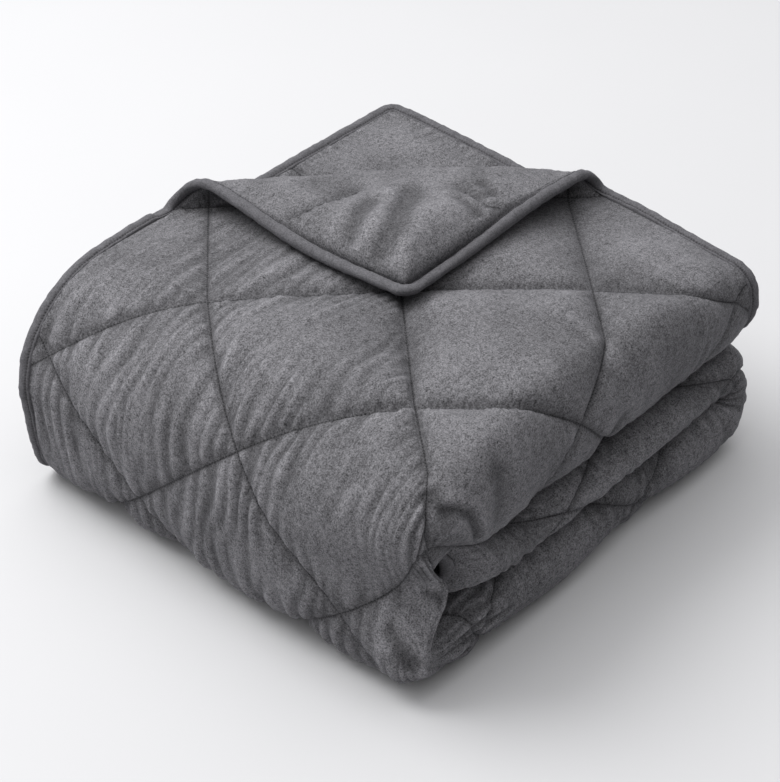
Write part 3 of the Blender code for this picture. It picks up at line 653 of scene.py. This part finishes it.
def face_relief(s, w):
    """Height of the ridges, puckers and creases on the face side."""
    gap = seam_distance(s, w)
    pinned = ease(gap, 0, RIDGE_PINNED)
    turned = ease_past(s, BIG_TURN_FROM, TURN_RIDGED)
    relief = face_ridges(s, w, gap, turned) * pinned

    rolled = ease_past(w, ROLL_FROM, (-ROLL_BLEND, 0))
    rolled = rolled * (1 - ease_past(w, ROLL_TO, (0, ROLL_BLEND)))
    turning = turned * (1 - ease_past(s, BIG_TURN_TO, ROLL_TURNING))
    beneath = ROLL_BENEATH * ease(w, (ROLL_FROM + ROLL_TO) / 2, ROLL_TO)
    lower = np.maximum(ease_past(s, BIG_TURN_TO, ROLL_LOWER), beneath)
    high = blend(ROLL_RIDGE_HIGH["upper"], ROLL_RIDGE_HIGH["lower"], lower) * (1 - turning)
    kept = ROLL_RIDGE_LEFT + (1 - ROLL_RIDGE_LEFT) * np.exp(-gap / ROLL_RIDGE_FADES)
    relief = relief * (1 - ROLL_OTHERS * rolled * (1 - turning))
    across = ridges(w, s, ROLL_RIDGE_PITCH, SEEDS["roll ridges"])
    relief = relief + high * rolled * kept * pinned * across

    smooth = (seam_families(s, w)[0] >= STRONG_CELLS) & (s < BIG_TURN_FROM)
    puckered = np.where(smooth, PUCKER_SMOOTH, 1)
    relief = relief + PUCKER_HIGH * puckered * seam_puckers(s, w, SEEDS["puckers"])
    swell = noise(s / SWELL_LONG, w / SWELL_LONG, SEEDS["swell"])
    relief = relief + SWELL_HIGH * swell * pinned
    return relief + GATHER_HIGH * edge_gathers(s, w, SEEDS["gathers"]) - creases(s, w, CREASES)


def back_relief(s, w):
    """Height of the puckers on the back, which shows on the turned corner and the one below it."""
    soft = patches(s, w, BACK_SWELL_PATCH, SEEDS["back swell"])
    soft = soft + SMALL_SWELL * patches(s, w, SMALL_SWELL_PATCH, SEEDS["small back swell"])
    flap = (s < BIG_TURN_FROM) & (w < ROLL_FROM)
    relief = np.where(flap, FLAP_SWELL_HIGH, SWELL_HIGH) * soft
    relief = relief * ease(edge_distance(s, w), *BACK_SWELL_STARTS)
    gap, run = corner_seams(s, w)
    gap = np.abs(gap)
    sway = CORNER_PUCKER_SWAY * noise(run / PUCKER_SWAY_LONG, gap * 0, SEEDS["corner puckers"])
    wave = np.cos(2 * np.pi * run / PUCKER_PITCH + sway)
    own = wave * np.exp(-gap / PUCKER_REACH) * ease(gap, 0, PUCKER_STARTS)
    lattice = seam_puckers(s, w, SEEDS["back puckers"])
    relief = relief + PUCKER_HIGH * blend(lattice, own, corner_share(s, w))
    gathers = BACK_GATHER_HIGH * edge_gathers(s, w, SEEDS["back gathers"])
    return relief + gathers - creases(s, w, BACK_CREASES)


def half_thickness(s, w, side):
    """Half the thickness of the quilted cloth on one side, and its painted shade: darker in troughs
    and beside seams, lighter (a painted highlight) on ridges.
    """
    thick, full = thickness(s, w)
    gap = seam_distance(s, w)
    corner = np.where(side < 0, corner_share(s, w), 0)
    corner_gap = np.abs(corner_seams(s, w)[0])
    valley = GROOVE_DEEP * (1 - np.clip(gap / GROOVE_WIDE, 0, 1)) ** 2
    filled = ease(w, *(blend(ROLL_FROM, ROLL_TO, share) for share in FILLED_ROUND))
    valley = valley * (1 - ROLL_FILLED * (filled * (1 - ease_past(w, ROLL_TO, FILLED_PAST))))
    own_valley = CORNER_SUNK + CORNER_SEAM_DEEP * np.exp(-corner_gap / CORNER_SEAM_WIDE)
    valley = np.minimum(blend(valley, own_valley, corner), GROOVE_SHARE * thick * full)
    nearest = blend(np.exp(-gap / SEAM_SPREAD), np.exp(-corner_gap / SEAM_SPREAD), corner)
    valley = valley + SEAM_DEEP * nearest * full
    relief = np.where(side > 0, face_relief(s, w), back_relief(s, w))
    relief = relief * np.clip(full * RELIEF_FULL, 0, 1)
    # Painted shade: darker in seam valleys, troughs and beside seams, with a painted highlight on
    # ridges where the relief rises.
    beside = np.exp(-blend(gap, corner_gap, corner) / SHADE_BESIDE)
    painted_relief_shade = (TROUGH_SEAM * SEAM_DEEP * nearest - relief) / TROUGH_DEEP + TROUGH_BESIDE * beside
    return thick / 2 - valley + relief, np.clip(painted_relief_shade, -1, 1)


def sag(s, w):
    """How much further the roll hangs at its near end, over the end of the layers inside."""
    along = ease(s, *SAG_FROM_S) * (1 - ease(s, *SAG_TO_S))
    return SAG * along * ease(w, *SAG_FROM_W) * (1 - ease(w, *SAG_TO_W))


def settled(points):
    """The points with the corner at the end of the roll drawn in."""
    x, y, z = points.T
    share = ease(x, *SETTLED_FROM_X) * ease(-y, *SETTLED_FROM_Y) * ease(z, *SETTLED_FROM_Z)
    return points + share[:, None] * np.array(SETTLED)


def flat_side(zone):
    """Flat mesh of one side inside the tongue; zone gives the cuts that each square gets."""
    bm = bmesh.new()
    first_s = (END_X - (SEAM_DIFFERENCE + SEAM_SUM) / 2) % BASE_STEP - BASE_STEP
    first_w = (UPPER_EDGE_Y - (SEAM_SUM - SEAM_DIFFERENCE) / 2) % BASE_STEP - BASE_STEP
    count_s, count_w = int(LENGTH / BASE_STEP) + 3, int(WIDTH / BASE_STEP) + 3
    bmesh.ops.create_grid(bm, x_segments=count_s, y_segments=count_w, size=0.5)
    for vertex in bm.verts:
        vertex.co.x = first_s + (vertex.co.x + 0.5) * count_s * BASE_STEP
        vertex.co.y = first_w + (vertex.co.y + 0.5) * count_w * BASE_STEP
    cut(bm, (TONGUE_WIDE, 0), (-1, 0), clear=True)
    cut(bm, (LENGTH - TONGUE_WIDE, 0), (1, 0), clear=True)
    cut(bm, (0, TONGUE_WIDE), (0, -1), clear=True)
    cut(bm, (0, WIDTH - TONGUE_WIDE), (0, 1), clear=True)
    for cuts in (FINE_CUTS, MEDIUM_CUTS):
        faces = [face for face in bm.faces if zone(*face.calc_center_median().xy) == cuts]
        edges = dict.fromkeys(edge for face in faces for edge in face.edges)
        whole = [edge for edge in edges if edge.calc_length() > WHOLE_EDGE * BASE_STEP]
        bmesh.ops.subdivide_edges(bm, edges=whole, cuts=cuts, use_grid_fill=True)
    for number in range(-MOST_SEAMS, MOST_SEAMS):
        cut(bm, (END_X - SEAM_DIFFERENCE - number * DIAGONAL, UPPER_EDGE_Y), (1, -1))
        cut(bm, (END_X - SEAM_SUM - number * DIAGONAL, UPPER_EDGE_Y), (1, 1))
    return bm


def cut(bm, through, normal, clear=False):
    """Cuts the flat mesh along a line; clear drops what the normal points to."""
    bmesh.ops.bisect_plane(
        bm,
        geom=bm.verts[:] + bm.edges[:] + bm.faces[:],
        dist=SNAP,
        plane_co=(*through, 0),
        plane_no=(*normal, 0),
        clear_outer=clear,
    )


def face_zone(s, w):
    in_rim = edge_distance(s, w) < RIM_ZONE
    shown = s < BIG_TURN_TO + TURN_ZONE and w < ROLL_TO + TURN_ZONE
    rolled = ROLL_FROM - ROLL_ZONE < w < ROLL_TO + ROLL_ZONE
    if in_rim or shown or rolled:
        return FINE_CUTS
    turned = SMALL_TURN_FROM - SMALL_TURN_ZONE < s < SMALL_TURN_TO + SMALL_TURN_ZONE
    return MEDIUM_CUTS if turned else 0


def back_zone(s, w):
    in_rim = edge_distance(s, w) < RIM_ZONE
    flap = s < FLAP_ZONE[0] and w < FLAP_ZONE[1]
    below = s < BELOW_ZONE[0] and w > WIDTH - BELOW_ZONE[1]
    return FINE_CUTS if in_rim or flap or below else 0


def points_of(bm):
    points = np.array([vertex.co for vertex in bm.verts])
    return points[:, 0], points[:, 1], points[:, 2]


def build_panel(material):
    """The quilted cloth with its filling, as one closed mesh."""
    bm = bmesh.new()
    for side, zone in ((FACE, face_zone), (BACK, back_zone)):
        half = flat_side(zone)
        for vertex in half.verts:
            vertex.co.z = 0 if vertex.is_boundary else side
        spare = bpy.data.meshes.new("half")
        half.to_mesh(spare)
        half.free()
        bm.from_mesh(spare)
        bpy.data.meshes.remove(spare)
    rim = [vertex for vertex in bm.verts if vertex.co.z == 0]
    bmesh.ops.remove_doubles(bm, verts=rim, dist=SNAP / 2)
    bm.verts.index_update()
    s, w, side = points_of(bm)
    half_thick, painted_relief_shade = half_thickness(s, w, side)
    points = place(s, w, side * half_thick)
    points[:, 2] -= sag(s, w)
    edge, inward = edge_frames(s, w)[:2]
    points = np.where((side == 0)[:, None], edge + inward * TONGUE_WIDE, points)
    corner_gap, run = corner_seams(s, w)
    values = {
        "lattice": np.where(side < 0, 1 - corner_share(s, w), 1),
        "corner_gap": np.where(side < 0, np.clip(corner_gap, -NO_LINE, NO_LINE), NO_LINE),
        "corner_run": run,
        # painted shade in troughs and beside seams, painted highlight on ridges
        "painted_relief_shade": painted_relief_shade,
    }
    return cloth_object("quilted_blanket", bm, settled(points), (s, w), values, material)


def build_binding(material):
    """The folded tape round the edge, rounded by its own thickness, with small gathers."""
    bm = flat_side(face_zone)
    inside = [vertex for vertex in bm.verts if not vertex.is_boundary]
    chords = [edge for edge in bm.edges if not edge.is_boundary]
    bmesh.ops.delete(bm, geom=chords, context="EDGES_FACES")
    bmesh.ops.delete(bm, geom=inside, context="VERTS")
    section = [*BINDING_ROUND, *((into, -high) for into, high in BINDING_ROUND[:0:-1])]
    rows = first = bm.edges[:]
    for number in range(1, len(section)):
        made = bmesh.ops.extrude_edge_only(bm, edges=rows)["geom"]
        for item in made:
            if isinstance(item, bmesh.types.BMVert):
                item.co.z = number
        made = [item for item in made if isinstance(item, bmesh.types.BMEdge)]
        rows = [edge for edge in made if all(vertex.co.z == number for vertex in edge.verts)]
    bmesh.ops.bridge_loops(bm, edges=first + rows)
    bm.verts.index_update()
    s, w, row = points_of(bm)
    edge, inward, up = edge_frames(s, w)
    into, high = np.array(section)[row.astype(int)].T
    run = np.where(np.minimum(w, WIDTH - w) < NEAR_TONGUE, s, w)
    plump = 1
    for change, long, seed in zip(BINDING_PLUMP, BINDING_PLUMP_LONG, ("plump", "small plump")):
        plump = plump + change * noise(run / long, row * 0, SEEDS[seed])
    gather = noise(run / BINDING_GATHER_LONG, row / BINDING_GATHER_ROWS, SEEDS["tape gathers"])
    points = edge + inward * into[:, None] + up * (high * plump)[:, None]
    points = points + up * (BINDING_GATHER * gather * np.sign(high))[:, None]
    points[:, 2] = np.maximum(points[:, 2], 0)
    across = into + BINDING_SIDES_APART * (high < 0)
    return cloth_object("edge_binding_tape", bm, settled(points), (run, across), {}, material)


def cloth_object(name, bm, points, flat, values, material):
    """The finished mesh, with its flat coordinates as a UV map and values at its vertices."""
    layer = bm.loops.layers.uv.new("flat")
    for face in bm.faces:
        for loop in face.loops:
            loop[layer].uv = [coordinate[loop.vert.index] for coordinate in flat]
    for vertex, point in zip(bm.verts, points):
        vertex.co = point
    bmesh.ops.recalc_face_normals(bm, faces=bm.faces[:])
    if bm.calc_volume(signed=True) < 0:
        bmesh.ops.reverse_faces(bm, faces=bm.faces[:])
    for face in bm.faces:
        face.smooth = True
    mesh = bpy.data.meshes.new(name)
    bm.to_mesh(mesh)
    bm.free()
    for label, numbers in values.items():
        mesh.attributes.new(label, "FLOAT", "POINT").data.foreach_set("value", numbers)
    mesh.materials.append(material)
    made = bpy.data.objects.new(name, mesh)
    bpy.context.scene.collection.objects.link(made)
    return made


# Materials.
def new_group(name, inputs, outputs):
    """An empty shader node group with its sockets, and its input and output nodes."""
    group = bpy.data.node_groups.new(name, "ShaderNodeTree")
    for label, kind, value in inputs:
        socket = group.interface.new_socket(label, in_out="INPUT", socket_type=kind)
        if value is not None:
            socket.default_value = value
    for label, kind in outputs:
        group.interface.new_socket(label, in_out="OUTPUT", socket_type=kind)
    return group, group.nodes.new("NodeGroupInput"), group.nodes.new("NodeGroupOutput")


def add(tree, kind, inputs=(), **settings):
    """A node with its settings, and its inputs linked or set."""
    node = tree.nodes.new(kind)
    for name, value in settings.items():
        setattr(node, name, value)
    for socket, source in dict(inputs).items():
        if isinstance(source, bpy.types.NodeSocket):
            tree.links.new(source, node.inputs[socket])
        else:
            node.inputs[socket].default_value = source
    return node


def calc_in(tree):
    """Arithmetic on the values of a node tree."""
    def calc(operation, *values, clamp=False):
        inputs = enumerate(values)
        node = add(tree, "ShaderNodeMath", inputs, operation=operation, use_clamp=clamp)
        return node.outputs[0]
    return calc


def mottle(tree, at, scale, **settings):
    """Even noise of a scale, from 0 to 1."""
    inputs = {"Vector": at, "Scale": scale, **settings}
    return add(tree, "ShaderNodeTexNoise", inputs).outputs[0]


def attribute(tree, name):
    return add(tree, "ShaderNodeAttribute", attribute_name=name).outputs["Fac"]


def shaded(tree, color, shade):
    node = add(tree, "ShaderNodeVectorMath", {0: color, "Scale": shade}, operation="SCALE")
    return node.outputs[0]


def brushed_nap():
    """Short brushed fibres: mottled colour and a fine uneven height."""
    group, given, out = new_group(
        "brushed nap",
        [
            ("Position", "NodeSocketVector", None),
            ("Color", "NodeSocketColor", CLOTH_COLOR),
            ("Mottle", "NodeSocketFloat", 1.0),
        ],
        [("Color", "NodeSocketColor"), ("Height", "NodeSocketFloat")],
    )
    at = given.outputs["Position"]
    calc = calc_in(group)
    fibres = mottle(group, at, FIBRES, Detail=3.0, Roughness=0.6)
    tufts = mottle(group, at, TUFTS, Detail=2.0)
    clouds = mottle(group, at, CLOUDS, Detail=2.0)
    grain = calc("MULTIPLY_ADD", fibres, FIBRE_MOTTLE, -FIBRE_MOTTLE / 2)
    for layer, share in ((tufts, TUFT_MOTTLE), (clouds, CLOUD_MOTTLE)):
        below = calc("SUBTRACT", grain, share / 2)
        grain = calc("MULTIPLY_ADD", layer, share, below)
    shade = calc("MULTIPLY_ADD", grain, given.outputs["Mottle"], 1.0)
    height = calc("MULTIPLY_ADD", tufts, TUFT_HIGH, calc("MULTIPLY", fibres, FIBRE_HIGH))
    group.links.new(shaded(group, given.outputs["Color"], shade), out.inputs["Color"])
    group.links.new(height, out.inputs["Height"])
    return group


def dotted_line():
    """A line of stitches: how dark and how high the thread is, from the distance to it."""
    group, given, out = new_group(
        "dotted line",
        [
            ("Distance", "NodeSocketFloat", 1.0),
            ("Run", "NodeSocketFloat", 0.0),
            ("Pitch", "NodeSocketFloat", STITCH_PITCH),
            ("Width", "NodeSocketFloat", STITCH_WIDE),
        ],
        [("Dark", "NodeSocketFloat"), ("Thread", "NodeSocketFloat")],
    )
    calc = calc_in(group)
    share = calc("DIVIDE", given.outputs["Distance"], given.outputs["Width"])
    line = calc("SUBTRACT", 1.0, share, clamp=True)
    run = calc("DIVIDE", given.outputs["Run"], given.outputs["Pitch"])
    from_middle = calc("SUBTRACT", calc("FRACT", run), 0.5)
    to_end = calc("SUBTRACT", STITCH_HALF, calc("ABSOLUTE", from_middle))
    stitch = calc("MULTIPLY", to_end, STITCH_SHARP, clamp=True)
    hole = calc("MULTIPLY", line, calc("SUBTRACT", 1.0, stitch))
    hole = calc("MULTIPLY", hole, HOLE_DARK)
    dark = calc("MULTIPLY_ADD", line, LINE_DARK, hole, clamp=True)
    group.links.new(dark, out.inputs["Dark"])
    group.links.new(calc("MULTIPLY", line, stitch), out.inputs["Thread"])
    return group


def stitch_line(tree, stitches, gap, run, **settings):
    """Dark and thread of one line of stitches."""
    inputs = {"Distance": gap, "Run": run, **settings}
    line = add(tree, "ShaderNodeGroup", inputs, node_tree=stitches)
    return line.outputs["Dark"], line.outputs["Thread"]


def new_material(name):
    material = bpy.data.materials.new(name)
    material.use_nodes = True
    return material, material.node_tree, material.node_tree.nodes["Principled BSDF"]


def flat_coordinates(tree):
    flat = add(tree, "ShaderNodeUVMap", uv_map="flat").outputs[0]
    return flat, add(tree, "ShaderNodeSeparateXYZ", {0: flat}).outputs


def fine_wrinkles(tree, flat):
    """Height of the small uneven wrinkles that run along the blanket, in units of the nap."""
    calc = calc_in(tree)
    scale = (WRINKLES_ALONG, WRINKLES_ACROSS, 1)
    stretched = add(tree, "ShaderNodeMapping", {"Vector": flat, "Scale": scale}).outputs[0]
    fine = mottle(tree, stretched, 1.0, Detail=2.0)
    where = mottle(tree, flat, WRINKLED_PATCHES, Detail=1.0)
    where = calc("SUBTRACT", where, WRINKLED_FROM)
    strong = calc("MULTIPLY", where, WRINKLED_SHARP, clamp=True)
    return calc("MULTIPLY", calc("MULTIPLY", fine, strong), WRINKLES_HIGH)


def finish_cloth(tree, shader, nap, look, shade, raised):
    """Nap of a colour, mottle and depth on the shader, shaded, with what is raised over it."""
    color, mottled, deep = look
    at = add(tree, "ShaderNodeTexCoord").outputs["Object"]
    inputs = {"Position": at, "Color": color, "Mottle": mottled}
    fibres = add(tree, "ShaderNodeGroup", inputs, node_tree=nap)
    base = shaded(tree, fibres.outputs["Color"], shade)
    height = calc_in(tree)("ADD", fibres.outputs["Height"], raised)
    inputs = {"Height": height, "Strength": NAP_STRENGTH, "Distance": deep}
    bump = add(tree, "ShaderNodeBump", inputs)
    tree.links.new(base, shader.inputs["Base Color"])
    tree.links.new(bump.outputs[0], shader.inputs["Normal"])
    for socket, value in CLOTH_FINISH.items():
        shader.inputs[socket].default_value = value


def cloth_material(nap, stitches):
    """Brushed cloth with the stitches of the quilting, which follow the flat coordinates."""
    material, tree, shader = new_material("brushed cloth")
    flat, split = flat_coordinates(tree)
    calc = calc_in(tree)
    x = calc("SUBTRACT", END_X, split[0])
    y = calc("SUBTRACT", UPPER_EDGE_Y, split[1])
    difference = calc("SUBTRACT", calc("SUBTRACT", x, y), SEAM_DIFFERENCE)
    total = calc("SUBTRACT", calc("ADD", x, y), SEAM_SUM)
    lines = []
    for across, along in ((difference, total), (total, difference)):
        number = calc("DIVIDE", across, DIAGONAL)
        off = calc("SUBTRACT", number, calc("ROUND", number))
        gap = calc("MULTIPLY", calc("ABSOLUTE", off), CELL)
        lines.append(stitch_line(tree, stitches, gap, calc("DIVIDE", along, 2**0.5)))
    lattice = attribute(tree, "lattice")
    corner_gap = calc("ABSOLUTE", attribute(tree, "corner_gap"))
    own = stitch_line(tree, stitches, corner_gap, attribute(tree, "corner_run"))
    most = []
    for pair, own_value in zip(zip(*lines), own):
        value = calc("MULTIPLY", calc("MAXIMUM", *pair), lattice)
        most.append(calc("MAXIMUM", value, own_value))
    dark, thread = most
    # Painted shade in troughs and beside seams, and painted highlight on ridges, multiplied into
    # the cloth's colour.
    painted_relief_shade = calc("MULTIPLY", attribute(tree, "painted_relief_shade"), PAINTED_SHADE_STRENGTH)
    shade = calc("SUBTRACT", 1.0, calc("MULTIPLY", dark, STITCH_DARK))
    shade = calc("MULTIPLY", shade, calc("SUBTRACT", 1.0, painted_relief_shade))
    raised = calc("MULTIPLY", thread, THREAD_HIGH)
    raised = calc("ADD", raised, fine_wrinkles(tree, flat))
    finish_cloth(tree, shader, nap, (CLOTH_COLOR, CLOTH_MOTTLE, CLOTH_NAP), shade, raised)
    return material


def binding_material(nap, stitches):
    """The same cloth on the tape, with one line of stitches along its inner edge."""
    material, tree, shader = new_material("binding tape")
    split = flat_coordinates(tree)[1]
    calc = calc_in(tree)
    across = calc("ADD", split[1], BINDING_SIDES_APART)
    across = calc("MODULO", across, BINDING_SIDES_APART)
    gap = calc("ABSOLUTE", calc("SUBTRACT", across, BINDING_SEAM_IN))
    size = {"Pitch": BINDING_STITCH_PITCH, "Width": BINDING_STITCH_WIDE}
    dark, thread = stitch_line(tree, stitches, gap, split[0], **size)
    shade = calc("SUBTRACT", 1.0, calc("MULTIPLY", dark, BINDING_STITCH_DARK))
    raised = calc("MULTIPLY", thread, THREAD_HIGH)
    finish_cloth(tree, shader, nap, (BINDING_COLOR, BINDING_MOTTLE, BINDING_NAP), shade, raised)
    return material


# Floor, light and camera.
def build_floor():
    bpy.ops.object.select_all(action="DESELECT")
    bpy.ops.mesh.primitive_plane_add(size=FLOOR_WIDE, location=(0, 0, 0))
    floor = bpy.context.object
    floor.name = "floor"
    material, tree, shader = new_material("pale floor")
    at = add(tree, "ShaderNodeTexCoord").outputs["Object"]
    mix = add(tree, "ShaderNodeMix", {0: mottle(tree, at, FLOOR_GRAIN)}, data_type="RGBA")
    mix.inputs[6].default_value = FLOOR_DARKER
    mix.inputs[7].default_value = FLOOR_LIGHTER
    tree.links.new(mix.outputs[2], shader.inputs["Base Color"])
    shader.inputs["Roughness"].default_value = 1
    shader.inputs["Specular IOR Level"].default_value = 0
    floor.data.materials.append(material)


def build_light():
    world = bpy.data.worlds.new("studio")
    world.use_nodes = True
    tree = world.node_tree
    direction = add(tree, "ShaderNodeTexCoord").outputs["Generated"]
    split = add(tree, "ShaderNodeSeparateXYZ", {0: direction}).outputs
    calc = calc_in(tree)
    above = calc("POWER", calc("MAXIMUM", split[2], 0.0), SKY_POWER)
    strength = calc("MULTIPLY_ADD", above, SKY_ABOVE, SKY_LOW)
    behind = calc("MULTIPLY_ADD", split[1], SKY_BEHIND, 1.0)
    background = tree.nodes["Background"]
    background.inputs["Color"].default_value = SKY_COLOR
    strength = calc("MULTIPLY", strength, behind)
    tree.links.new(strength, background.inputs["Strength"])
    bpy.context.scene.world = world

    lamp = bpy.data.lights.new("key", "AREA")
    lamp.shape, lamp.size, lamp.energy = "DISK", LAMP_WIDE, LAMP_POWER
    made = bpy.data.objects.new("key", lamp)
    made.location = LAMP_AT
    direction = Vector(LAMP_TOWARD) - Vector(LAMP_AT)
    made.rotation_euler = direction.to_track_quat("-Z", "Y").to_euler()
    bpy.context.scene.collection.objects.link(made)


def build_camera():
    camera = bpy.data.cameras.new("camera")
    camera.sensor_fit = "HORIZONTAL"
    camera.sensor_width = SENSOR_WIDE
    camera.lens = FOCAL_PIXELS / PHOTO_WIDE * SENSOR_WIDE
    made = bpy.data.objects.new("camera", camera)
    forward = Vector((
        math.sin(VIEW_YAW) * math.cos(VIEW_PITCH),
        math.cos(VIEW_YAW) * math.cos(VIEW_PITCH),
        -math.sin(VIEW_PITCH),
    ))
    made.location = Vector(VIEW_TARGET) - forward * VIEW_DISTANCE
    made.rotation_euler = (math.pi / 2 - VIEW_PITCH, 0, -VIEW_YAW)
    bpy.context.scene.collection.objects.link(made)
    bpy.context.scene.camera = made
    bpy.context.scene.view_settings.view_transform = "Standard"


def dress():
    nap, stitches = brushed_nap(), dotted_line()
    panel = build_panel(cloth_material(nap, stitches))
    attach(panel, "root")
    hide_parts("quilted_panel")
    tape = build_binding(binding_material(nap, stitches))
    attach(tape, "root")
    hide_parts("edge_binding")


build_camera()
build_light()
build_floor()
dress()
